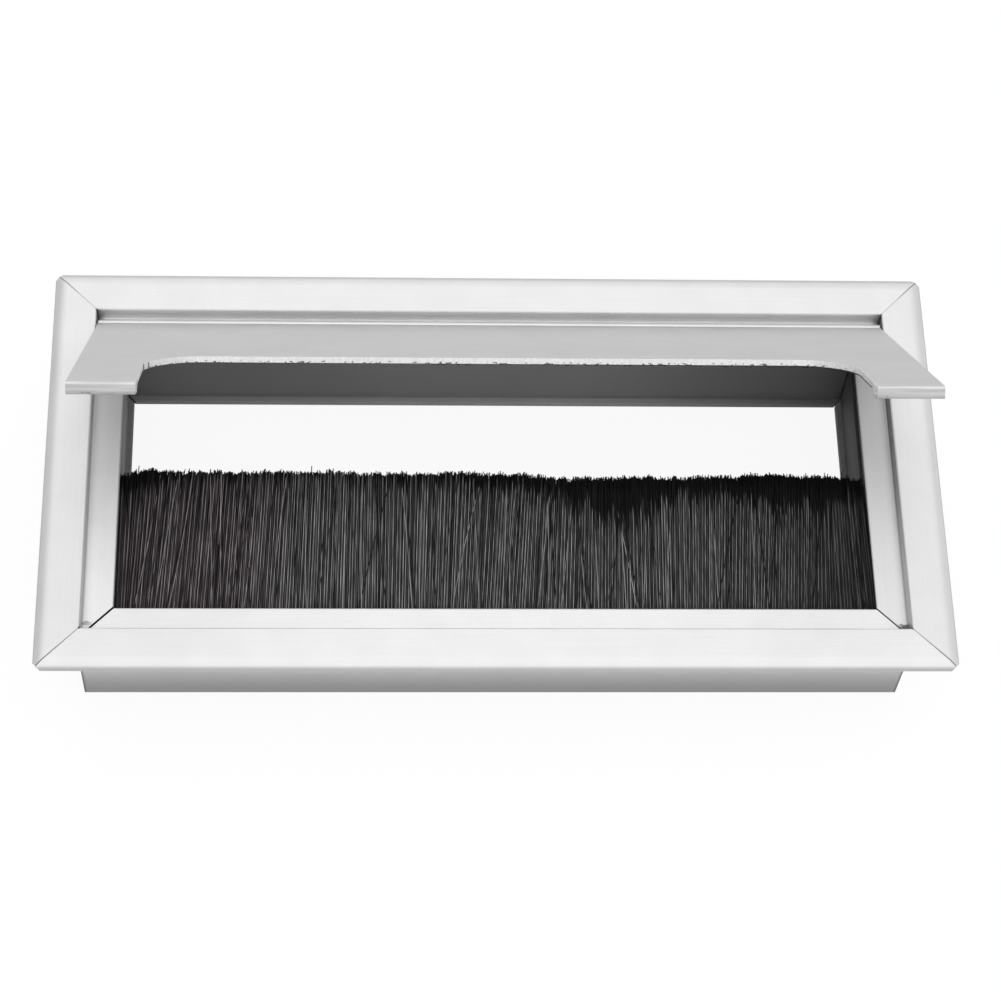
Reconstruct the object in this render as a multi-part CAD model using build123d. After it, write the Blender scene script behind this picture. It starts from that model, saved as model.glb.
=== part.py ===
"""Desk cable grommet: a mitred aluminium frame with a flip-up lid and a brush strip.

Millimetres. The origin is the middle of the desk cut-out, on the desk top that
the flange lies on. X runs left to right, Y front to back and Z up.
In a rail's section u runs inwards from the flange's outer edge and z runs up.
"""
import os
from math import sqrt

from build123d import *

# Frame, over the flange
LENGTH = 160.0
WIDTH = 80.0
CORNER_CLIP = 1.3
MITRE_GAP = 0.06
INNER_MITRE_GAP = 0.24

# Rail section: flange, skirt and the recess for the lid
FLANGE_T = 1.2
EDGE_LAND = 0.4
EDGE_RUN = 2.3
OVERHANG = 6.75
SKIRT_DEPTH = 23.8
WALL = 1.0
RECESS_DEPTH = 3.2
LEDGE_W = 5.35
LEDGE_T = 0.8
SOFT_R = 0.35

# Rail section: brush slot, inner wall and foot
SLOT_H = 2.8
HOOK_H = 0.4
HOOK_T = 0.8
JAW_T = 1.0
LIP_OUT = 0.15
INNER_SET = 0.9
FOOT_T = 1.0

# Corner keys in the hollow of the rails
KEY_PLAY = 0.12
KEY_LEG = 24.0
KEY_CHAMFER = 0.8

# Lid and hinge
LID_T = 1.05
LID_SIDE_GAP = 0.4
LID_FRONT_GAP = 0.3
LID_REST_GAP = 0.05
PIVOT_IN = 2.6
PIVOT_UP = 1.4
BEAD_R = 1.2
PLATE_UP = 0.8
LIP_W = 3.2
LIP_TAPER = 1.6
NOSE_R = 0.45
EAR_W = 11.25
NOTCH_DEPTH = 25.0
NOTCH_R = 10.0
OPEN_ANGLE = 49.1
PIN_D = 1.0
PIN_FIT = 0.02
PIN_RUN = 0.05
PIN_INSET = 0.1
PIN_GRIP = 8.0
PIN_END_GAP = 0.4

# Brush strip
HOLDER_PLAY = 0.15
HOLDER_T = 0.4
PACK_PLAY = 0.1
WIRE_D = 0.7
WIRE_PLAY = 0.03
STRIP_TUCK = 0.45
BRISTLE_FREE = 28.0

# Places that follow from the sizes
RISER_U = OVERHANG + WALL
LEDGE_U = RISER_U + LEDGE_W
LIP_U = LEDGE_U + LIP_OUT
INNER_U = LEDGE_U - INNER_SET
LEDGE_Z = FLANGE_T - RECESS_DEPTH
SLOT_TOP = LEDGE_Z - LEDGE_T
SLOT_FLOOR = SLOT_TOP - SLOT_H
JAW_Z = SLOT_FLOOR - JAW_T
FOOT_Z = FOOT_T - SKIRT_DEPTH
PIVOT_Y = WIDTH / 2 - RISER_U - PIVOT_IN
PIVOT_Z = LEDGE_Z + PIVOT_UP
LID_HALF = LENGTH / 2 - RISER_U - LID_SIDE_GAP
LID_REACH = WIDTH - 2 * RISER_U - PIVOT_IN - LID_FRONT_GAP
LIP_T = PIVOT_UP + PLATE_UP - LID_REST_GAP


def area(u0, u1, z0, z1):
    """Rectangle between two u and two z values of a section."""
    return Pos((u0 + u1) / 2, (z0 + z1) / 2) * Rectangle(u1 - u0, z1 - z0)


def corners(sketch, *places):
    """The sketch's corners nearest to the given places."""
    return [sketch.vertices().sort_by_distance((u, z, 0))[0] for u, z in places]


def rail_section():
    """Section shared by the four rails."""
    mouth_low = SLOT_FLOOR + HOOK_H
    section = area(0, LIP_U, -SKIRT_DEPTH, FLANGE_T)
    section -= area(0, OVERHANG, -SKIRT_DEPTH, 0)
    section -= area(RISER_U, LIP_U, LEDGE_Z, FLANGE_T)
    section -= area(LEDGE_U, LIP_U, mouth_low, LEDGE_Z)
    section -= area(RISER_U, LEDGE_U - HOOK_T, SLOT_FLOOR, SLOT_TOP)
    section -= area(LEDGE_U - HOOK_T, LIP_U, mouth_low, SLOT_TOP - HOOK_H)
    section -= area(INNER_U, LIP_U, FOOT_Z, JAW_Z)
    section -= area(RISER_U, INNER_U - WALL, FOOT_Z, JAW_Z)
    soft = corners(section, (RISER_U, FLANGE_T), (LEDGE_U, LEDGE_Z), (LIP_U, mouth_low),
                   (LIP_U, FOOT_Z), (OVERHANG, -SKIRT_DEPTH))
    return fillet(soft, SOFT_R) - crown()


def crown():
    """What the rounded outer edge takes off the flange's top corner."""
    arc = TangentArc((EDGE_RUN, FLANGE_T), (0, EDGE_LAND), tangent=(-1, 0))
    corner = Polyline((0, EDGE_LAND), (0, FLANGE_T), (EDGE_RUN, FLANGE_T))
    return make_face(arc + corner)


def mitred(sketch, length, gap):
    """Bar along X with the given section, cut at 45 degrees half a gap short of each corner."""
    bar = extrude(Plane.YZ * sketch, length / 2, both=True)
    end = (length - gap * sqrt(2)) / 2
    for side in (-1, 1):
        mitre = Plane((side * end, 0, 0), z_dir=(side, 1, 0))
        bar = split(bar, bisect_by=mitre, keep=Keep.BOTTOM)
    return bar


def rail(length):
    """Rail with its outer edge on the X axis. Its mitres meet at the flange and stand apart inside."""
    section = rail_section()
    inside = area(RISER_U, LIP_U, -SKIRT_DEPTH, LEDGE_Z)
    outer = mitred(section - inside, length, MITRE_GAP)
    return outer + mitred(section & inside, length, INNER_MITRE_GAP)


def plan():
    """Prism of the frame's outline, with its clipped corners."""
    outline = chamfer(Rectangle(LENGTH, WIDTH).vertices(), CORNER_CLIP)
    return extrude(Pos(0, 0, -SKIRT_DEPTH) * outline, SKIRT_DEPTH + FLANGE_T)


def pin_hole(side):
    """Hole for a hinge pin through a side rail's wall."""
    outer = LENGTH / 2 - OVERHANG
    inner = LENGTH / 2 - LEDGE_U
    middle = Pos(side * (outer + inner) / 2, PIVOT_Y, PIVOT_Z)
    return middle * Rot(0, 90, 0) * Cylinder(PIN_D / 2 + PIN_FIT, outer - inner)


def frame_rails():
    """The four rails in their places."""
    long_rail = rail(LENGTH)
    short_rail = rail(WIDTH)
    outline = plan()
    return {
        "front_rail": Pos(0, -WIDTH / 2) * long_rail & outline,
        "rear_rail": Pos(0, WIDTH / 2) * Rot(0, 0, 180) * long_rail & outline,
        "left_rail": (Pos(-LENGTH / 2) * Rot(0, 0, -90) * short_rail & outline) - pin_hole(-1),
        "right_rail": (Pos(LENGTH / 2) * Rot(0, 0, 90) * short_rail & outline) - pin_hole(1),
    }


def corner_key():
    """Right-angled key in the hollow of two rails, with its outer corner at the origin."""
    thick = INNER_U - WALL - RISER_U - 2 * KEY_PLAY
    low = FOOT_Z + KEY_PLAY
    high = JAW_Z - KEY_PLAY
    angle = area(0, KEY_LEG, 0, KEY_LEG) - area(thick, KEY_LEG, thick, KEY_LEG)
    tips = angle.vertices().group_by(Axis.X)[-1] + angle.vertices().group_by(Axis.Y)[-1]
    return extrude(Pos(0, 0, low) * chamfer(tips, KEY_CHAMFER), high - low)


def corner_keys():
    """One key for each corner of the frame."""
    inset = RISER_U + KEY_PLAY
    names = ("front_left", "front_right", "rear_right", "rear_left")
    signs = ((-1, -1), (1, -1), (1, 1), (-1, 1))
    keys = {}
    for turn, (name, (sx, sy)) in enumerate(zip(names, signs)):
        corner = Pos(sx * (LENGTH / 2 - inset), sy * (WIDTH / 2 - inset))
        keys["corner_key_" + name] = corner * Rot(0, 0, 90 * turn) * corner_key()
    return keys


def lid_section():
    """Lid section with the pivot at its origin: x runs backwards and y up, as the lid lies shut."""
    front = -LID_REACH
    under = PLATE_UP - LID_T
    low = PLATE_UP - LIP_T
    edge = Polyline((0, PLATE_UP), (front, PLATE_UP), (front, low), (front + LIP_W, low),
                    (front + LIP_W + LIP_TAPER, under), (0, under), close=True)
    plate = make_face(edge)
    plate = fillet(corners(plate, (front, PLATE_UP), (front, low)), NOSE_R)
    return plate + Circle(BEAD_R)


def notch():
    """Cut-out in the lid's front edge that lets the cables out."""
    half = LID_HALF - EAR_W
    deep = NOTCH_DEPTH + NOTCH_R
    outline = RectangleRounded(2 * half, 2 * deep, NOTCH_R)
    floor = Pos(0, NOTCH_DEPTH - LID_REACH - deep, PLATE_UP - LIP_T)
    return extrude(floor * outline, LIP_T)


def lid():
    """Lid in the open position, turned about the hinge."""
    plate = extrude(Plane.YZ * lid_section(), LID_HALF, both=True) - notch()
    bore = Rot(0, 90, 0) * Cylinder(PIN_D / 2 + PIN_RUN, 2 * (PIN_GRIP + PIN_END_GAP))
    for side in (-1, 1):
        plate -= Pos(side * LID_HALF) * bore
    return Pos(0, PIVOT_Y, PIVOT_Z) * Rot(-OPEN_ANGLE, 0, 0) * plate


def hinge_pin(side):
    """Pin fixed in a side rail's wall, with the lid's bore running on it."""
    outer = LENGTH / 2 - OVERHANG - PIN_INSET
    inner = LID_HALF - PIN_GRIP
    pin = Cylinder(PIN_D / 2, outer - inner)
    pin = chamfer(pin.edges().filter_by(GeomType.CIRCLE), PIN_D / 8)
    return Pos(side * (outer + inner) / 2, PIVOT_Y, PIVOT_Z) * Rot(0, 90, 0) * pin


def brush():
    """Brush strip in the front rail: bristles folded over a wire and held in a channel."""
    mid_z = (SLOT_TOP + SLOT_FLOOR) / 2
    back = RISER_U + HOLDER_PLAY
    mouth = LEDGE_U - HOOK_T - HOLDER_PLAY
    half_h = SLOT_H / 2 - HOLDER_PLAY
    pack_r = half_h - HOLDER_T - PACK_PLAY
    wire_u = back + HOLDER_T + PACK_PLAY + pack_r
    tip = LEDGE_U + BRISTLE_FREE
    channel = area(back, mouth, mid_z - half_h, mid_z + half_h)
    channel -= area(back + HOLDER_T, mouth, mid_z - half_h + HOLDER_T, mid_z + half_h - HOLDER_T)
    fold = Pos(wire_u, mid_z) * Circle(pack_r)
    pack = area(wire_u, tip, mid_z - pack_r, mid_z + pack_r) + fold
    pack -= Pos(wire_u, mid_z) * Circle(WIRE_D / 2 + WIRE_PLAY)
    wire = Pos(wire_u, mid_z) * Circle(WIRE_D / 2)
    half = LENGTH / 2 - LEDGE_U + STRIP_TUCK
    strip = {"brush_holder": channel, "brush_wire": wire, "bristles": pack}
    front = Pos(0, -WIDTH / 2)
    return {name: front * extrude(Plane.YZ * s, half, both=True) for name, s in strip.items()}


def grommet():
    """All pieces by name."""
    pieces = frame_rails() | corner_keys() | brush()
    pieces["lid"] = lid()
    pieces["hinge_pin_left"] = hinge_pin(-1)
    pieces["hinge_pin_right"] = hinge_pin(1)
    return pieces


os.makedirs("parts", exist_ok=True)
for name, piece in grommet().items():
    export_step(piece, f"parts/{name}.step")
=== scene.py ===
import math
import random

import bpy
from mathutils import Matrix, Vector

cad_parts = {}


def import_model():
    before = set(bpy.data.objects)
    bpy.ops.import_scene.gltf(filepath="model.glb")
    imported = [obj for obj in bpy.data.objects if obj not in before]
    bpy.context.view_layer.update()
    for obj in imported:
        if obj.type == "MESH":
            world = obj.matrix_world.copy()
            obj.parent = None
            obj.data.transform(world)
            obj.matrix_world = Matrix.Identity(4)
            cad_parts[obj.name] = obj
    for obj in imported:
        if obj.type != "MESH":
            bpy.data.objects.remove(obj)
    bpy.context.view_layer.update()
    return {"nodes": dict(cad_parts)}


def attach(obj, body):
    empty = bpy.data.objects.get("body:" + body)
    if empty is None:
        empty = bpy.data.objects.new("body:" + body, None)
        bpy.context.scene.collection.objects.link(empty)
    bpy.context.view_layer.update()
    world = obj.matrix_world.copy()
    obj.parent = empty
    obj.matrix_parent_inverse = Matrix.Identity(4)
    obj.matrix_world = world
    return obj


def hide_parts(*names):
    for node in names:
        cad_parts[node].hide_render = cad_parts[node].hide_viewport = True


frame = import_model()

MM = 0.001

# Camera: angles in degrees, lengths in millimetres, the range that it sees in metres
VIEW_AZIMUTH = -6.05
VIEW_ELEVATION = 61.534
VIEW_ROLL = 5.519
VIEW_DISTANCE = 508.636
VIEW_TARGET = (0.867, -6.58, 0.0)
SENSOR = 36.0
LENS = 102.852
CLIP_START = 0.01
CLIP_END = 50

# Frame, in millimetres
HALF_LENGTH = 80.0
HALF_WIDTH = 40.0
FLOOR_Z = -23.8

# Parts of a rail that get painted shade and light: where each starts and where it is full, in millimetres.
# IN and OUT are distances from the frame's edge, BELOW is a height, and RUN is the stretch of a gradient.
HOLLOW_IN = (11.7, 12.0)
HOLLOW_BELOW = (-2.0, -2.3)
WALL_RUN = (-15.0, -12.5)
LIP_RUN = (-22.6, -22.2)
LEFT_RUN = (-55.0, -5.0)
RIGHT_RUN = (15.0, 62.0)
SKIRT_OUT = (7.5, 7.0)
SKIRT_BELOW = (0.3, -0.1)
SKIRT_RUN = (0.0, FLOOR_Z)
RISER_IN = (7.6, 7.7)
RISER_OUT = (8.0, 7.9)
RISER_BELOW = (1.1, 0.7)
LEDGE_IN = (8.0, 8.3)
LEDGE_BELOW = (-1.2, -1.6)
LEDGE_RUN = (8.0, 11.0)
SIDE_RUN = (-24.0, 13.0)
RIM_START = 0.05

# Painted shade and finish that all rails share: the hollow darker towards each end, the skirt towards its
# foot
LEFT_HOLLOW_SHADE = 0.78
RIGHT_HOLLOW_SHADE = 0.52
SKIRT_SHADE = (-0.11, 0.66)
RAIL_METAL = 0.8
RAIL_GLOSS = 0.25
HOLLOW_METAL = 0.05
HOLLOW_ROUGH = 0.2

# Joints of the rails, in millimetres as above; WIDE is a distance from the mitre line.
# LINE_OUTER, LINE_INNER, LINE_END and GAP_REAR have one value for the front and one for the rear,
# and GAP_DARK, GAP_START and GAP_FULL have one for the left and one for the right.
HALVES = (-10.0, 10.0)
LINE_OUTER = (0.35, 0.5)
LINE_INNER = (0.7, 1.0)
LINE_START = 2.0
LINE_END = (7.0, 5.5)
LINE_WIDE = (0.08, 0.22)
GAP_DARK = (0.95, 0.65)
GAP_START = (0.34, 0.27)
GAP_FULL = (0.20, 0.09)
GAP_REAR = (1.0, 0.45)
GAP_IN = (7.4, 7.7)
GAP_BELOW = (-2.1, -2.6)
GAP_DEEP = 0.85
# The nook is painted shade in the inner corner of the step; its depth is shared with the dark skirt corner.
NOOK_IN = (7.6, 7.8)
NOOK_OUT = (9.6, 7.9)
NOOK_WIDE = (1.4, 0.3)
CORNER_BELOW = (0.0, -0.3)
CORNER_WIDE = (0.6, 0.2)
JOINT_DARK_AND_NOOK_SHADE = 0.4
# Painted shade in a ragged nook at the foot of a side rail's riser, near the front
RISER_NOOK_IN = (7.6, 7.9)
RISER_NOOK_OUT = (10.1, 8.4)
RISER_NOOK_BELOW = (-0.6, -1.4)
RISER_NOOK_FRONT = (0.0, -10.0)
RISER_NOOK_SOFT = 0.2
RISER_NOOK_NOISE = (900.0, 900.0, 900.0)

# Stretches of noise that are used, for one noise and for the sum of two
NOISE_SPAN = (0.3, 0.7)
NARROW_SPAN = (0.35, 0.65)
WIDE_SPAN = (0.2, 0.8)
SUM_SPAN = (0.6, 1.4)

# Satin aluminium: scales of its noise in waves per metre, tones, and depth of the bump in millimetres
ALONG_X = (60.0, 3000.0, 3000.0)
ALONG_Y = (3000.0, 60.0, 3000.0)
SPECK_NOISE = (4200.0, 4200.0, 4200.0)
CLOUD_NOISE = (130.0, 130.0, 130.0)
GRAIN_TONE = (0.972, 1.028)
CLOUD_TONE = (0.985, 1.015)
SATIN_ROUGH = (0.46, 0.54)
SATIN_BUMP = 0.01
COOL = 0.005
BUMP_STRENGTH = 0.2

# Each rail's grain and tones, as rail_aluminium, rail_shade and the shade of the riser's nook take them;
# the tones of the wall, lip, rim, riser, ledge and nook are painted shade and light
RAILS = {
    "front": {"grain": ALONG_X, "base": 0.86, "wall": (0.29, 0.29), "lip": 0.62, "rim": (0.6, 0.8),
              "riser": (1.0, 1.0), "ledge": (1.04, 1.04, 1.0, 1.0)},
    "rear": {"grain": ALONG_X, "base": 0.84, "wall": (0.295, 0.295), "lip": 0.53, "rim": (0.66, 1.3),
             "riser": (1.16, 1.16), "ledge": (0.85, 0.85, 1.0, 1.0)},
    "left": {"grain": ALONG_Y, "base": 0.83, "wall": (0.5, 0.48), "lip": 0.56, "rim": (0.78, 0.3),
             "riser": (0.66, 0.62), "ledge": (1.07, 0.72, 1.12, 1.0), "riser_nook": (10.0, 10.3, 0.5)},
    "right": {"grain": ALONG_Y, "base": 0.82, "wall": (0.09, 0.16), "lip": 0.68, "rim": (0.75, 0.3),
              "riser": (0.71, 0.36), "ledge": (1.05, 0.76, 1.13, 0.97), "riser_nook": (8.5, 9.9, 0.75)},
}

# Lid, in millimetres from its hinge as it lies shut
HINGE_Y = 29.65
HINGE_Z = -0.6
OPEN_ANGLE = 49.1
LID_REACH = 61.6
LID_TOP = 0.8
LID_UNDER = -0.25
LIP_UNDER = -1.35
LIP_W = 3.2
LIP_TAPER = 1.6
LIP_BACK = LIP_W + LIP_TAPER - LID_REACH
NOSE_R = 0.45
NOTCH_HALF = 60.6
NOTCH_DEPTH = 25.0
NOTCH_R = 10.0

# Finish of the lid: its parts in millimetres as for the rails, scales of noise in waves per metre, tones;
# FOOT_SHADE is painted shade at the foot of the front face, and the bead, nose and rear get painted light
NOSE_RUN = (NOSE_R - LID_REACH, 0.15 - LID_REACH)
NOSE_HIGHLIGHT_ABOVE = (0.25, 0.45)
BEAD_BEHIND = (-1.7, -1.4)
FOOT_BELOW = (-0.5, -1.1)
REAR_RUN = (-35.0, -2.0)
STREAK_NOISE = (90.0, 2500.0, 2500.0)
STREAK_SHADE = (0.21, 0.34)
STAIN_NOISE = (900.0, 2500.0, 2500.0)
STAIN_SPAN = (0.62, 0.68)
STAIN_SHADE = 0.25
FOOT_SHADE = 0.15
NOSE_HIGHLIGHT = 0.15
BEAD_HIGHLIGHT = 0.02
REAR_PAINTED_LIGHT = 0.06
LID_BASE = 0.86
LID_EDGE = 0.35

# Sawn edge of the notch, in millimetres; SAW_SHARES are shares of its height, and TEARS and the first
# numbers of BURR_HANG are places along X
SAW_SEED = 5
SAW_STEP = 0.35
SAW_SHARES = (0.0, 0.04, 0.3, 0.6, 0.85, 1.0)
TEARS = (-60.42, -59.85)
TEAR_HALF = 0.07
BURR_HANG = ((-60, 0.0), (-40, 0.05), (30, 0.1), (50, 0.22), (60, 0.25))
BURR_SPREAD = (0.6, 1.1)
BURR_EXTRA = 0.25
BURR_ON_LIP = 0.05
BURR_OUT = 0.03
TOP_BURR = 0.12
SKIN_INSET = 0.02
SKIN_OUT = 0.02
SKIN_ROUGH = 0.06
SKIN_ROOT = -0.05

# Finish of the sawn edge: scales of noise in waves per metre, tones, and bump in millimetres;
# the dark tone of the lower edge is partly painted shade
MARK_NOISE = (2600.0, 900.0, 900.0)
MARK_TONE = (0.92, 1.07)
MARK_ROUGH = (0.4, 0.6)
PIT_NOISE = (1500.0, 2600.0, 2600.0)
PIT_SPAN = (0.36, 0.42)
PIT_TONE = 0.2
PIT_RUN = (0.0, 0.3)
PIT_FADE = 0.2
BURR_AND_SHADE_TONE = 0.06
SAWN_TONE = (0.87, 0.87, 0.87)
SAWN_METAL = 0.35
SAWN_BUMP = 0.04

# Hidden metal: tones, scales of noise in waves per metre, and bump in millimetres
KEY_TONE = (0.55, 0.55, 0.55)
KEY_NOISE = (900.0, 900.0, 900.0)
KEY_BUMP = 0.02
ZINC_TONE = (0.55, 0.55, 0.54)
ZINC_NOISE = (300.0, 900.0, 900.0)
PIN_TONE = (0.5, 0.5, 0.5)
PIN_NOISE = (200.0, 3000.0, 3000.0)
SPANGLE_SCALE = 700.0
STEEL_LIGHT = (0.85, 1.05)
STEEL_ROUGH = (0.3, 0.5)
STEEL_BUMP = 0.03

# Brush, in millimetres; the two even rows at the bottom fill the gaps
BRISTLE_SEED = 11
BRISTLE_HALF = 67.2
BRISTLE_ROOT = -29.6
BRISTLE_Z = -4.2
PACK_HALF = 0.7
BRISTLE_R = 0.082
BRISTLE_ROWS = 7
BRISTLES_IN_ROW = 860
BRISTLE_RINGS = 5
EVEN_ROWS = 2
EVEN_SHIFT = 0.5
LOOSE_SHIFT = (0.3, 0.7)

# How far hairs go astray: WILD from 0 to 1, the lean in degrees and the rest in millimetres.
# A hair leans about the point at LEAN_PIVOT of its length.
LOOSE_WILD = 0.04
TOP_WILD = 1.0
LEAN_SPREAD = 3.5
HEIGHT_SPREAD = 0.1
RISE_SPREAD = 0.2
BOW_SPREAD = 0.3
LEAN_PIVOT = 0.15

# Ends of the hairs, in millimetres, and the share of long ones
END_WAVES = (2.3, 4.1, 11.0, 29.0)
END_WAVE = 0.25
EVEN_END = -0.4
LOOSE_END = -0.3
LOOSE_END_SPREAD = 0.8
LONG_SHARE = 0.008
LONG_END = (0.3, 1.0)

# Along the brush, by places along X in millimetres: share of top hairs, lean in degrees, place of the tips
# along Y, painted shade darkest at the ends, and place along Y where the painted shade at the tips starts
STRAY_SHARE = ((10, 0.17), (30, 0.11))
BRISTLE_LEAN = ((-67, -0.3), (-64, 2.0), (-60, 3.3), (-40, 2.2), (-20, 0.8), (2, 4.5), (28, 1.3), (48, 5.0),
                (58, 3.5), (67, -1.5))
BRISTLE_TIP = ((-67.2, 0.0), (-64.5, 1.1), (-10, 0.9), (4, 0.7), (12, -0.1), (30, 0.2), (45, 0.8),
               (67, 0.2))
BRISTLE_END_SHADE = ((-67, 0.48), (-63, 0.73), (-55, 0.83), (-45, 0.95), (-20, 1.0), (0, 1.0), (25, 0.95),
                (45, 0.75), (67, 0.26))
DARK_TIPS = ((-64, -3.0), (-55, 0.3), (-35, 1.0), (-10, -0.2), (4, -2.6), (12, -3.7), (22, -8.5), (34, -3.9),
             (44, -4.2), (57, -6.2), (64, -5.0))

# Tones of the hairs: light, middling and dark; how many darker ones follow a light one;
# painted shade by row, darker low in the pack; brown by X
HAIR_TONES = ((0.25, 0.37), (0.06, 0.12), (0.003, 0.021))
DARKER_RUNS = (2, 2, 3, 3, 4)
ROW_SHADE = ((0, 0.2), (2, 0.33), (4, 0.72), (5, 1.0))
WARM_SHARE = ((-47, 1.0), (-33, 0.0))
WARM_TINT = (0.08, -0.06, 0.01)

# Finish of the hairs: scales of noise in waves per metre, lengths in millimetres, tones
CLUMP_NOISE = (330.0, 20.0, 0.0)
CLUMP_REACH = 2.0
STRAND_NOISE = (2600.0, 30.0, 0.0)
STRAND_REACH = 4.0
TIP_RUN = (-1.2, 0.6)
TIP_TONE = 0.05
ALONG_NOISE = (6000.0, 170.0, 6000.0)
ALONG_TONE = (0.5, 1.5)
HAIR_ROUGH = 0.42
HAIR_GLOSS = 0.25
HAIR_BUMP = 0.01

# Studio: lengths in metres; each lamp has a name, a place, a size and a power in watts
FLOOR_HALF = 6.0
WALL_HEIGHT = 1.2
FLOOR_TONE = 0.95
GLOW_SHARE = 0.88
GLOW_STRENGTH = 1.03
WORLD_STRENGTH = 0.35
LAMPS = (
    ("top_softbox", (0.05, 0.1, 0.9), 2.0, 10.4),
    ("front_softbox", (0.0, -0.85, 0.5), 0.8, 1.2),
    ("rear_softbox", (0.0, 1.1, 0.4), 0.9, 0.8),
    ("right_softbox", (1.1, 0.0, 0.4), 0.8, 0.5),
)


def camera():
    """Camera at the photograph's place."""
    az, el, roll = (math.radians(a) for a in (VIEW_AZIMUTH, VIEW_ELEVATION, VIEW_ROLL))
    back = Vector((math.sin(az) * math.cos(el), -math.cos(az) * math.cos(el), math.sin(el)))
    level = Vector((math.cos(az), math.sin(az), 0))
    rise = back.cross(level)
    right = math.cos(roll) * level + math.sin(roll) * rise
    up = math.cos(roll) * rise - math.sin(roll) * level
    turn = Matrix((right, up, back)).transposed()
    data = bpy.data.cameras.new("camera")
    data.sensor_width = SENSOR
    data.lens = LENS
    data.clip_start = CLIP_START
    data.clip_end = CLIP_END
    item = bpy.data.objects.new("camera", data)
    place = (Vector(VIEW_TARGET) + back * VIEW_DISTANCE) * MM
    item.matrix_world = Matrix.Translation(place) @ turn.to_4x4()
    bpy.context.scene.collection.objects.link(item)
    bpy.context.scene.camera = item


def put(tree, kind, links=None, **settings):
    """Adds a node, sets its properties, and sets or links its inputs."""
    node = tree.nodes.new(kind)
    for key, value in settings.items():
        setattr(node, key, value)
    for key, value in (links or {}).items():
        if isinstance(value, bpy.types.NodeSocket):
            tree.links.new(value, node.inputs[key])
        else:
            node.inputs[key].default_value = value
    return node


def maths(tree, operation, a, b=0.0):
    """Result of a math node."""
    return put(tree, "ShaderNodeMath", {0: a, 1: b}, operation=operation).outputs[0]


def added(tree, first, *others):
    """Sum of several values."""
    for value in others:
        first = maths(tree, "ADD", first, value)
    return first


def product(tree, first, *others):
    """Product of several values."""
    for value in others:
        first = maths(tree, "MULTIPLY", first, value)
    return first


def ramp(tree, value, low, high, start=0.0, end=1.0):
    """Value carried smoothly from low..high to start..end, and held beyond."""
    inputs = {0: value, 1: low, 2: high, 3: start, 4: end}
    return put(tree, "ShaderNodeMapRange", inputs, interpolation_type="SMOOTHSTEP").outputs[0]


def band(tree, length, limits, start=0.0, end=1.0):
    """Ramp of a length between limits in millimetres."""
    return ramp(tree, length, limits[0] * MM, limits[1] * MM, start, end)


def halves(tree, length, pair, unit=1.0):
    """First of a pair on the low side of the frame's middle and second on the high side, times a unit."""
    return band(tree, length, HALVES, pair[0] * unit, pair[1] * unit)


def profile(tree, length, stops):
    """Smooth curve through stops of place and height, in millimetres."""
    total = stops[0][1] * MM
    for (x0, y0), (x1, y1) in zip(stops, stops[1:]):
        total = maths(tree, "ADD", band(tree, length, (x0, x1), 0.0, (y1 - y0) * MM), total)
    return total


def noise(tree, place, scale, detail=2.0):
    """Noise with its own scale along each axis, in waves per metre."""
    spread = put(tree, "ShaderNodeMapping", {"Vector": place, "Scale": scale}).outputs[0]
    return put(tree, "ShaderNodeTexNoise", {"Vector": spread, "Scale": 1.0, "Detail": detail}).outputs[0]


def scaled(tree, colour, factor):
    """Colour times a factor."""
    return put(tree, "ShaderNodeVectorMath", {0: colour, "Scale": factor}, operation="SCALE").outputs[0]


def blank(name):
    """New material with an empty node tree, and its object coordinates."""
    material = bpy.data.materials.new(name)
    material.use_nodes = True
    tree = material.node_tree
    tree.nodes.clear()
    return material, tree, put(tree, "ShaderNodeTexCoord").outputs["Object"]


def surface(material, tree, colour, rough, height, depth, metal=1.0, edge=1.0, gloss=0.5):
    """Shader with a bump, its depth in millimetres, a grey edge tint and the gloss as specular level."""
    inputs = {"Height": height, "Strength": BUMP_STRENGTH, "Distance": depth * MM}
    bump = put(tree, "ShaderNodeBump", inputs).outputs[0]
    inputs = {"Base Color": colour, "Roughness": rough, "Normal": bump, "Metallic": metal}
    inputs |= {"Specular Tint": (edge, edge, edge, 1.0), "Specular IOR Level": gloss}
    shader = put(tree, "ShaderNodeBsdfPrincipled", inputs)
    put(tree, "ShaderNodeOutputMaterial", {"Surface": shader.outputs[0]})
    return material


def rail_places(tree, place):
    """Distances of a point from the frame's edge and from its mitre line, and its coordinates."""
    x, y, z = put(tree, "ShaderNodeSeparateXYZ", {0: place}).outputs
    from_end = maths(tree, "SUBTRACT", HALF_LENGTH * MM, maths(tree, "ABSOLUTE", x))
    from_side = maths(tree, "SUBTRACT", HALF_WIDTH * MM, maths(tree, "ABSOLUTE", y))
    from_edge = maths(tree, "MINIMUM", from_end, from_side)
    from_mitre = maths(tree, "ABSOLUTE", maths(tree, "SUBTRACT", from_end, from_side))
    return from_edge, from_mitre, (x, y, z)


def riser_nook_shade(tree, place, places, start, end, dark):
    """Painted shade in a ragged nook on a side rail's ledge, from start to end behind the frame's front edge.
    """
    from_edge, from_mitre, (_, y, z) = places
    ragged = ramp(tree, noise(tree, place, RISER_NOOK_NOISE), *NOISE_SPAN, -RISER_NOOK_SOFT * MM, RISER_NOOK_SOFT * MM)
    from_front = added(tree, from_edge, from_mitre, ragged)
    along = product(tree, band(tree, from_front, (start - RISER_NOOK_SOFT, start)),
                    band(tree, from_front, (end + RISER_NOOK_SOFT, end)))
    across = product(tree, band(tree, from_edge, RISER_NOOK_IN), band(tree, from_edge, RISER_NOOK_OUT))
    return product(tree, along, across, band(tree, y, RISER_NOOK_FRONT), band(tree, z, RISER_NOOK_BELOW), dark)


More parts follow.
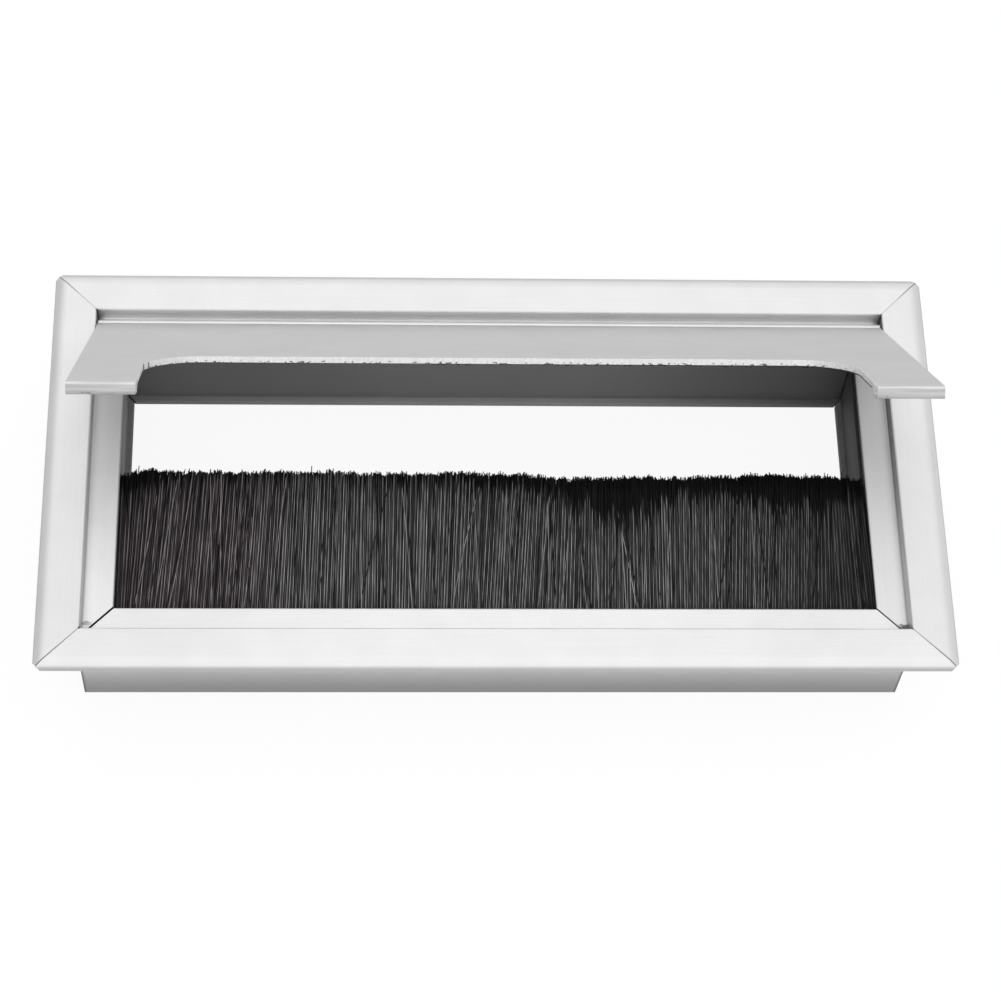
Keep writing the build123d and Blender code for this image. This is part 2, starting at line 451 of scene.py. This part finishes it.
def mitre_shade(tree, place, places, riser_nook):
    """Joint of two rails: a line fading inwards on the flange, a gap on the ledge, a dark skirt corner,
    painted shade in nooks.
    """
    from_edge, from_mitre, (x, y, z) = places
    line = ramp(tree, from_edge, LINE_START * MM, halves(tree, y, LINE_END, MM),
                halves(tree, y, LINE_OUTER), halves(tree, y, LINE_INNER))
    line = band(tree, from_mitre, LINE_WIDE, line, 1.0)
    deep = product(tree, halves(tree, x, GAP_DARK), halves(tree, y, GAP_REAR))
    deep = band(tree, z, GAP_BELOW, deep, GAP_DEEP)
    gap = ramp(tree, from_mitre, halves(tree, x, GAP_START, MM), halves(tree, x, GAP_FULL, MM))
    gap = product(tree, gap, band(tree, from_edge, GAP_IN), deep)
    # Painted shade in the inner corner of the step, where the risers of two rails meet.
    nook = product(tree, band(tree, from_edge, NOOK_IN), band(tree, from_edge, NOOK_OUT),
                   band(tree, from_mitre, NOOK_WIDE), JOINT_DARK_AND_NOOK_SHADE)
    corner = product(tree, band(tree, from_edge, SKIRT_OUT), band(tree, z, CORNER_BELOW),
                     band(tree, from_mitre, CORNER_WIDE), JOINT_DARK_AND_NOOK_SHADE)
    dark = added(tree, gap, nook, corner)
    # Painted shade in a ragged nook at the foot of a side rail's riser.
    if riser_nook:
        dark = added(tree, dark, riser_nook_shade(tree, place, places, *riser_nook))
    return maths(tree, "SUBTRACT", line, dark)


def rail_shade(tree, places, wall, lip, rim, riser, ledge):
    """Painted shade and light of a rail over its section, and where its hollow is.

    The painted shade of the wall goes from its upper to its lower part, and that of the rim has its width.
    The painted shade and light of the riser and ledge go from front to rear, and those of the ledge also
    from the riser to the opening.
    """
    from_edge, _, (x, y, z) = places
    inside = product(tree, band(tree, from_edge, HOLLOW_IN), band(tree, z, HOLLOW_BELOW))
    # Painted shade on the inner walls and their foot lips, darker towards the left and right ends.
    tone = band(tree, z, WALL_RUN, wall[1], wall[0])
    tone = band(tree, z, LIP_RUN, lip, tone)
    tone = product(tree, tone, band(tree, x, LEFT_RUN, LEFT_HOLLOW_SHADE, 1.0),
                   band(tree, x, RIGHT_RUN, 1.0, RIGHT_HOLLOW_SHADE))
    hollow = product(tree, inside, maths(tree, "SUBTRACT", 1.0, tone))
    # Painted light at the top of the outer skirt and painted shade towards its foot.
    skirt = product(tree, band(tree, from_edge, SKIRT_OUT), band(tree, z, SKIRT_BELOW),
                    band(tree, z, SKIRT_RUN, *SKIRT_SHADE))
    # Painted shade and light on the risers, changing from front to rear.
    step = product(tree, band(tree, from_edge, RISER_IN), band(tree, from_edge, RISER_OUT),
                   band(tree, z, RISER_BELOW), band(tree, y, SIDE_RUN, 1 - riser[0], 1 - riser[1]))
    # Painted shade on the ledges under the lid towards the rear, and painted light at the front and near the
    # riser.
    tone = product(tree, band(tree, y, SIDE_RUN, *ledge[:2]), band(tree, from_edge, LEDGE_RUN, *ledge[2:]))
    flat = product(tree, band(tree, from_edge, LEDGE_IN), band(tree, z, LEDGE_BELOW),
                   ramp(tree, inside, 1, 0), maths(tree, "SUBTRACT", 1.0, tone))
    # Painted shade along the outer rim of the flange.
    edge = band(tree, from_edge, (RIM_START, rim[1]), rim[0], 1.0)
    return maths(tree, "SUBTRACT", edge, added(tree, hollow, skirt, step, flat)), inside


def satin(tree, place, grain):
    """Fine drawn lines and grain of anodised aluminium as a value around 1, and the tone they give."""
    both = added(tree, noise(tree, place, grain, detail=3.0), noise(tree, place, SPECK_NOISE))
    cloud = noise(tree, place, CLOUD_NOISE, detail=3.0)
    tone = product(tree, ramp(tree, both, *SUM_SPAN, *GRAIN_TONE),
                   ramp(tree, cloud, *NOISE_SPAN, *CLOUD_TONE))
    return both, tone


def rail_aluminium(name, grain, base, riser_nook=None, **tones):
    """Satin anodised rail with painted shade and light by place; its tones are those that rail_shade takes.
    """
    material, tree, place = blank(name)
    places = rail_places(tree, place)
    both, sheen = satin(tree, place, grain)
    light, inside = rail_shade(tree, places, **tones)
    light = product(tree, light, sheen, mitre_shade(tree, place, places, riser_nook))
    rough = ramp(tree, both, *SUM_SPAN, *SATIN_ROUGH)
    rough = added(tree, rough, ramp(tree, inside, 0, 1, 0.0, HOLLOW_ROUGH))
    metal = ramp(tree, inside, 0, 1, RAIL_METAL, HOLLOW_METAL)
    colour = scaled(tree, (base, base, base + COOL), light)
    return surface(material, tree, colour, rough, both, SATIN_BUMP, metal, gloss=RAIL_GLOSS)


def lid_places(tree, place):
    """Distance of a point behind the hinge and above it, as on the shut lid."""
    turn = math.radians(OPEN_ANGLE)
    _, y, z = put(tree, "ShaderNodeSeparateXYZ", {0: place}).outputs
    back = maths(tree, "SUBTRACT", y, HINGE_Y * MM)
    up = maths(tree, "SUBTRACT", z, HINGE_Z * MM)
    flat = [product(tree, back, math.cos(turn)), product(tree, up, math.sin(turn))]
    tall = [product(tree, back, math.sin(turn)), product(tree, up, math.cos(turn))]
    return maths(tree, "SUBTRACT", *flat), added(tree, *tall)


def lid_aluminium():
    """Satin lid with a painted highlight on its bead and front top edge, and a streaked front edge."""
    material, tree, place = blank("lid_aluminium")
    y, z = lid_places(tree, place)
    both, sheen = satin(tree, place, ALONG_X)
    nose = band(tree, y, NOSE_RUN)
    # Painted highlight along the rounded top of the front edge.
    nose_highlight = product(tree, nose, band(tree, z, NOSE_HIGHLIGHT_ABOVE))
    bead = band(tree, y, BEAD_BEHIND)
    foot = band(tree, z, FOOT_BELOW)
    streak = ramp(tree, noise(tree, place, STREAK_NOISE), *NARROW_SPAN, *STREAK_SHADE)
    stain = ramp(tree, noise(tree, place, STAIN_NOISE, detail=1.0), *STAIN_SPAN, 0.0, STAIN_SHADE)
    # Streaks and stains on the front face, with painted shade towards its foot.
    streaks_stains_and_foot_shade = added(tree, streak, ramp(tree, foot, 0, 1, 0.0, FOOT_SHADE), product(tree, foot, stain))
    light = maths(tree, "SUBTRACT", sheen, product(tree, nose, streaks_stains_and_foot_shade))
    # Painted highlights on the rounded top of the front edge and on the bead, and painted light towards the
    # rear.
    light = added(tree, light, product(tree, nose_highlight, NOSE_HIGHLIGHT), ramp(tree, bead, 0, 1, 0.0, BEAD_HIGHLIGHT),
                  band(tree, y, REAR_RUN, 0.0, REAR_PAINTED_LIGHT))
    rough = ramp(tree, both, *SUM_SPAN, *SATIN_ROUGH)
    colour = scaled(tree, (LID_BASE, LID_BASE, LID_BASE + COOL), light)
    return surface(material, tree, colour, rough, both, SATIN_BUMP, edge=LID_EDGE)


def key_aluminium():
    """Satin aluminium of the corner keys."""
    material, tree, place = blank("key_aluminium")
    both, sheen = satin(tree, place, KEY_NOISE)
    rough = ramp(tree, both, *SUM_SPAN, *SATIN_ROUGH)
    return surface(material, tree, scaled(tree, KEY_TONE, sheen), rough, both, KEY_BUMP)


def sawn_aluminium():
    """Bare sawn aluminium: bright, with torn marks, dark pits, and a burred lower edge darkened partly as
    painted shade.
    """
    material, tree, place = blank("sawn_aluminium")
    # Dark tears and lower edge; on the downward face this dark tone is partly painted shade.
    burr_and_shade = put(tree, "ShaderNodeAttribute", attribute_name="burr_and_shade").outputs["Fac"]
    _, z = lid_places(tree, place)
    marks = noise(tree, place, MARK_NOISE, detail=3.0)
    pits = added(tree, noise(tree, place, PIT_NOISE, detail=1.0), band(tree, z, PIT_RUN, 0.0, PIT_FADE))
    pits = ramp(tree, pits, *PIT_SPAN, PIT_TONE, 1.0)
    light = product(tree, ramp(tree, marks, *NOISE_SPAN, *MARK_TONE), pits,
                    ramp(tree, burr_and_shade, 0, 1, 1.0, BURR_AND_SHADE_TONE))
    rough = ramp(tree, marks, *NOISE_SPAN, *MARK_ROUGH)
    return surface(material, tree, scaled(tree, SAWN_TONE, light), rough, marks, SAWN_BUMP, SAWN_METAL)


def steel(name, tone, scale):
    """Zinc-plated steel with cloudy spangle."""
    material, tree, place = blank(name)
    spangle = put(tree, "ShaderNodeTexVoronoi", {"Vector": place, "Scale": SPANGLE_SCALE}).outputs["Color"]
    cloud = noise(tree, place, scale, detail=4.0)
    light = product(tree, ramp(tree, spangle, 0.0, 1.0, *STEEL_LIGHT),
                    ramp(tree, cloud, *NOISE_SPAN, *STEEL_LIGHT))
    rough = ramp(tree, cloud, *NOISE_SPAN, *STEEL_ROUGH)
    return surface(material, tree, scaled(tree, tone, light), rough, cloud, STEEL_BUMP)


def bristle_nylon():
    """Black nylon hairs, each with its own tone, in the shade of the lid at their tips."""
    material, tree, place = blank("bristle_nylon")
    tint = put(tree, "ShaderNodeAttribute", attribute_name="hair_tone").outputs["Color"]
    x, y, _ = put(tree, "ShaderNodeSeparateXYZ", {0: place}).outputs
    clump = noise(tree, place, CLUMP_NOISE)
    clump = ramp(tree, clump, *WIDE_SPAN, -CLUMP_REACH * MM, CLUMP_REACH * MM)
    strand = noise(tree, place, STRAND_NOISE, detail=1.0)
    strand = ramp(tree, strand, *WIDE_SPAN, -STRAND_REACH * MM, STRAND_REACH * MM)
    reach = added(tree, profile(tree, x, DARK_TIPS), clump, strand)
    dark = band(tree, maths(tree, "SUBTRACT", y, reach), TIP_RUN, 1.0, TIP_TONE)
    along = noise(tree, place, ALONG_NOISE)
    light = product(tree, dark, ramp(tree, along, *NARROW_SPAN, *ALONG_TONE))
    colour = scaled(tree, tint, light)
    return surface(material, tree, colour, HAIR_ROUGH, along, HAIR_BUMP, metal=0.0, gloss=HAIR_GLOSS)


def waves(rng, lengths):
    """Smooth random curve of sine waves, mostly between -1 and 1, over a length in millimetres."""
    parts = [(2 * math.pi / w, rng.uniform(0, 2 * math.pi)) for w in lengths]
    return lambda x: sum(math.sin(k * x + p) for k, p in parts) / math.sqrt(len(parts))


def between(x, *stops):
    """Straight interpolation between (x, value) stops."""
    for (x0, v0), (x1, v1) in zip(stops, stops[1:]):
        if x <= x1:
            return v0 + (v1 - v0) * max(0.0, (x - x0) / (x1 - x0))
    return stops[-1][1]


def hair_points(rng, x, row, ends):
    """Middle points of one hair from root to tip, in millimetres; those of the top row go astray."""
    even = row < EVEN_ROWS
    wild = 0.0 if even else LOOSE_WILD if row < BRISTLE_ROWS - 1 else TOP_WILD
    lean = math.radians(between(x, *BRISTLE_LEAN) + wild * rng.gauss(0, LEAN_SPREAD))
    height = BRISTLE_Z + PACK_HALF * (2 * row / (BRISTLE_ROWS - 1) - 1) + wild * rng.gauss(0, HEIGHT_SPREAD)
    tip = between(x, *BRISTLE_TIP) + END_WAVE * ends(x)
    tip += EVEN_END if even else LOOSE_END_SPREAD * rng.random() ** 2 + LOOSE_END
    if rng.random() < LONG_SHARE:
        tip += rng.uniform(*LONG_END)
    length = tip - BRISTLE_ROOT
    rise = wild * rng.gauss(0, RISE_SPREAD)
    bow = wild * rng.gauss(0, BOW_SPREAD)
    points = []
    for ring in range(BRISTLE_RINGS):
        s = ring / (BRISTLE_RINGS - 1)
        side = x + math.tan(lean) * length * (s - LEAN_PIVOT) + bow * math.sin(math.pi * s)
        side = min(max(side, -BRISTLE_HALF), BRISTLE_HALF)
        points.append((side, BRISTLE_ROOT + length * s, height + rise * s * s))
    return points


def hair_tone(rng, x, row, turn):
    """Colour of one hair: light, middling or dark by its turn, painted shade by place and row, a little brown
    on the left.
    """
    grey = [rng.uniform(*limits) for limits in HAIR_TONES][turn]
    # Painted shade along the brush, darkest at its ends, and on the lower rows of the pack.
    grey *= between(x, *BRISTLE_END_SHADE)
    grey *= between(row, *ROW_SHADE)
    warm = between(x, *WARM_SHARE)
    return tuple(grey * (1 + tint * warm) for tint in WARM_TINT) + (1.0,)


def add_hair(points, radius, verts, faces):
    """Adds one closed four-sided hair to the mesh lists."""
    first = len(verts)
    for x, y, z in points:
        for dx, dz in ((radius, 0), (0, radius), (-radius, 0), (0, -radius)):
            verts.append(((x + dx) * MM, y * MM, (z + dz) * MM))
    for ring in range(len(points) - 1):
        a = first + 4 * ring
        for side in range(4):
            after = (side + 1) % 4
            faces.append((a + side, a + 4 + side, a + 4 + after, a + after))
    last = first + 4 * (len(points) - 1)
    faces.append((first, first + 1, first + 2, first + 3))
    faces.append((last + 3, last + 2, last + 1, last))


def add_piece(name, verts, faces, material, body):
    """Makes a smooth mesh piece that rides on a body."""
    mesh = bpy.data.meshes.new(name)
    mesh.from_pydata(verts, [], faces)
    mesh.polygons.foreach_set("use_smooth", [True] * len(faces))
    mesh.materials.append(material)
    item = bpy.data.objects.new(name, mesh)
    bpy.context.scene.collection.objects.link(item)
    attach(item, body)
    return item


def bristles():
    """The brush as separate hairs."""
    rng = random.Random(BRISTLE_SEED)
    ends = waves(rng, END_WAVES)
    verts, faces, tones = [], [], []
    step = 2 * BRISTLE_HALF / BRISTLES_IN_ROW
    for row in range(BRISTLE_ROWS):
        wait = 0
        for i in range(BRISTLES_IN_ROW):
            shift = EVEN_SHIFT * row if row < EVEN_ROWS else rng.uniform(*LOOSE_SHIFT)
            x = -BRISTLE_HALF + (i + shift) * step
            if row == BRISTLE_ROWS - 1 and rng.random() > between(x, *STRAY_SHARE):
                continue
            add_hair(hair_points(rng, x, row, ends), BRISTLE_R, verts, faces)
            turn = 1 + wait % 2 if wait else 0
            wait = wait - 1 if wait else rng.choice(DARKER_RUNS)
            tones += hair_tone(rng, x, row, turn) * (4 * BRISTLE_RINGS)
    item = add_piece("bristle_hairs", verts, faces, bristle_nylon(), "frame")
    colours = item.data.color_attributes.new("hair_tone", "FLOAT_COLOR", "POINT")
    colours.data.foreach_set("color", tones)
    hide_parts("bristles")


def open_lid(x, y, z):
    """Place in the frame, in metres, of a point given in millimetres on the shut lid."""
    turn = math.radians(OPEN_ANGLE)
    back = HINGE_Y + y * math.cos(turn) + z * math.sin(turn)
    up = HINGE_Z - y * math.sin(turn) + z * math.cos(turn)
    return (x * MM, back * MM, up * MM)


def notch_path(step):
    """Points along the notch's edge with the direction into the notch, from the left ear to the right one."""
    front = NOSE_R - LID_REACH
    bend = NOTCH_DEPTH - LID_REACH - NOTCH_R
    inner = NOTCH_HALF - NOTCH_R
    quarter = math.pi / 2 * NOTCH_R
    run = bend - front
    half = run + quarter + inner
    count = round(half / step)
    path = []
    for i in range(-count, count + 1):
        side = -1 if i < 0 else 1
        s = half * abs(i) / count
        if s <= inner:
            point, inward = (s, bend + NOTCH_R), (0.0, -1.0)
        elif s <= inner + quarter:
            a = (s - inner) / NOTCH_R
            point = (inner + NOTCH_R * math.sin(a), bend + NOTCH_R * math.cos(a))
            inward = (-math.sin(a), -math.cos(a))
        else:
            point, inward = (NOTCH_HALF, bend - (s - inner - quarter)), (-1.0, 0.0)
        path.append((side * point[0], point[1], side * inward[0], inward[1]))
    return path


def lid_under(y):
    """Height of the lid's underside at a place behind the hinge, where minus is in front of it."""
    return between(y, (LIP_BACK - LIP_TAPER, LIP_UNDER), (LIP_BACK, LID_UNDER))


def sawn_edge():
    """Torn skin of the notch's sawn face, with a burred lower edge that is dark partly as painted shade."""
    rng = random.Random(SAW_SEED)
    verts, faces, burr_and_shade_marks = [], [], []
    path = notch_path(SAW_STEP)
    for x, y, nx, ny in path:
        low = lid_under(y) + SKIN_INSET
        top = TOP_BURR * rng.random() ** 6
        torn = 1.0 if min(abs(x - tear) for tear in TEARS) < TEAR_HALF else 0.0
        hang = between(x, *BURR_HANG) * rng.uniform(*BURR_SPREAD)
        hang += BURR_EXTRA * rng.random() ** 9
        if y < LIP_BACK:
            hang = min(hang, BURR_ON_LIP)
        points = [(BURR_OUT, low - hang)]
        for share in SAW_SHARES:
            points.append((SKIN_OUT + SKIN_ROUGH * rng.random() ** 3, low + (LID_TOP - low + top) * share))
        points += [(SKIN_ROOT, LID_TOP - SKIN_INSET), (SKIN_ROOT, low)]
        verts += [open_lid(x + nx * out, y + ny * out, z) for out, z in points]
        # Dark marks on the lower edge, its root and the tears; below the edge this is partly painted shade.
        burr_and_shade_marks += [1.0, 1.0] + [torn] * len(SAW_SHARES) + [1.0]
    ring = len(SAW_SHARES) + 3
    for i in range(len(path) - 1):
        for k in range(ring):
            a, b = i * ring + k, i * ring + (k + 1) % ring
            faces.append((a, b, b + ring, a + ring))
    end = (len(path) - 1) * ring
    faces.append(tuple(range(ring - 1, -1, -1)))
    faces.append(tuple(range(end, end + ring)))
    item = add_piece("lid_sawn_edge", verts, faces, sawn_aluminium(), "lid")
    item.data.attributes.new("burr_and_shade", "FLOAT", "POINT").data.foreach_set("value", burr_and_shade_marks)


def dress():
    """Materials on the CAD nodes; the corner keys and the replaced bristles take the last one."""
    looks = {side + "_rail": rail_aluminium(side + "_rail_aluminium", **look) for side, look in RAILS.items()}
    looks["lid"] = lid_aluminium()
    looks["brush_holder"] = steel("zinc_steel", ZINC_TONE, ZINC_NOISE)
    pin = steel("pin_steel", PIN_TONE, PIN_NOISE)
    for name in ("brush_wire", "hinge_pin_left", "hinge_pin_right"):
        looks[name] = pin
    keys = key_aluminium()
    for name, node in frame["nodes"].items():
        node.data.materials.clear()
        node.data.materials.append(looks.get(name, keys))


def floor():
    """White floor with a low white wall far round it; the floor keeps a soft shadow of the object."""
    material, tree, _ = blank("floor_white")
    path = put(tree, "ShaderNodeLightPath").outputs
    seen = added(tree, path["Is Camera Ray"], path["Is Glossy Ray"], path["Is Transmission Ray"])
    share = ramp(tree, seen, 0, 1, 0.0, GLOW_SHARE)
    matt = put(tree, "ShaderNodeBsdfDiffuse", {"Color": (FLOOR_TONE, FLOOR_TONE, FLOOR_TONE, 1)})
    glow = put(tree, "ShaderNodeEmission", {"Color": (1, 1, 1, 1), "Strength": GLOW_STRENGTH})
    mixed = put(tree, "ShaderNodeMixShader", {0: share, 1: matt.outputs[0], 2: glow.outputs[0]})
    put(tree, "ShaderNodeOutputMaterial", {"Surface": mixed.outputs[0]})
    corners = [(-1, -1), (1, -1), (1, 1), (-1, 1)]
    heights = (FLOOR_Z * MM, FLOOR_Z * MM + WALL_HEIGHT)
    verts = [(x * FLOOR_HALF, y * FLOOR_HALF, z) for z in heights for x, y in corners]
    walls = [(i, (i + 1) % 4, (i + 1) % 4 + 4, i + 4) for i in range(4)]
    mesh = bpy.data.meshes.new("floor")
    mesh.from_pydata(verts, [], [(0, 1, 2, 3)] + walls)
    mesh.materials.append(material)
    item = bpy.data.objects.new("floor", mesh)
    bpy.context.scene.collection.objects.link(item)


def world():
    """Even studio surroundings above the wall."""
    studio = bpy.data.worlds.new("studio")
    studio.use_nodes = True
    tree = studio.node_tree
    tree.nodes.clear()
    back = put(tree, "ShaderNodeBackground", {"Color": (1, 1, 1, 1), "Strength": WORLD_STRENGTH})
    put(tree, "ShaderNodeOutputWorld", {"Surface": back.outputs[0]})
    bpy.context.scene.world = studio


def lamp(name, place, size, power):
    """Square soft lamp that points at the object."""
    data = bpy.data.lights.new(name, "AREA")
    data.size = size
    data.energy = power
    item = bpy.data.objects.new(name, data)
    item.location = place
    item.rotation_mode = "QUATERNION"
    item.rotation_quaternion = (-Vector(place)).to_track_quat("-Z", "Y")
    bpy.context.scene.collection.objects.link(item)


camera()
bristles()
sawn_edge()
dress()
floor()
world()
for softbox in LAMPS:
    lamp(*softbox)

bpy.context.scene.view_settings.view_transform = "Standard"
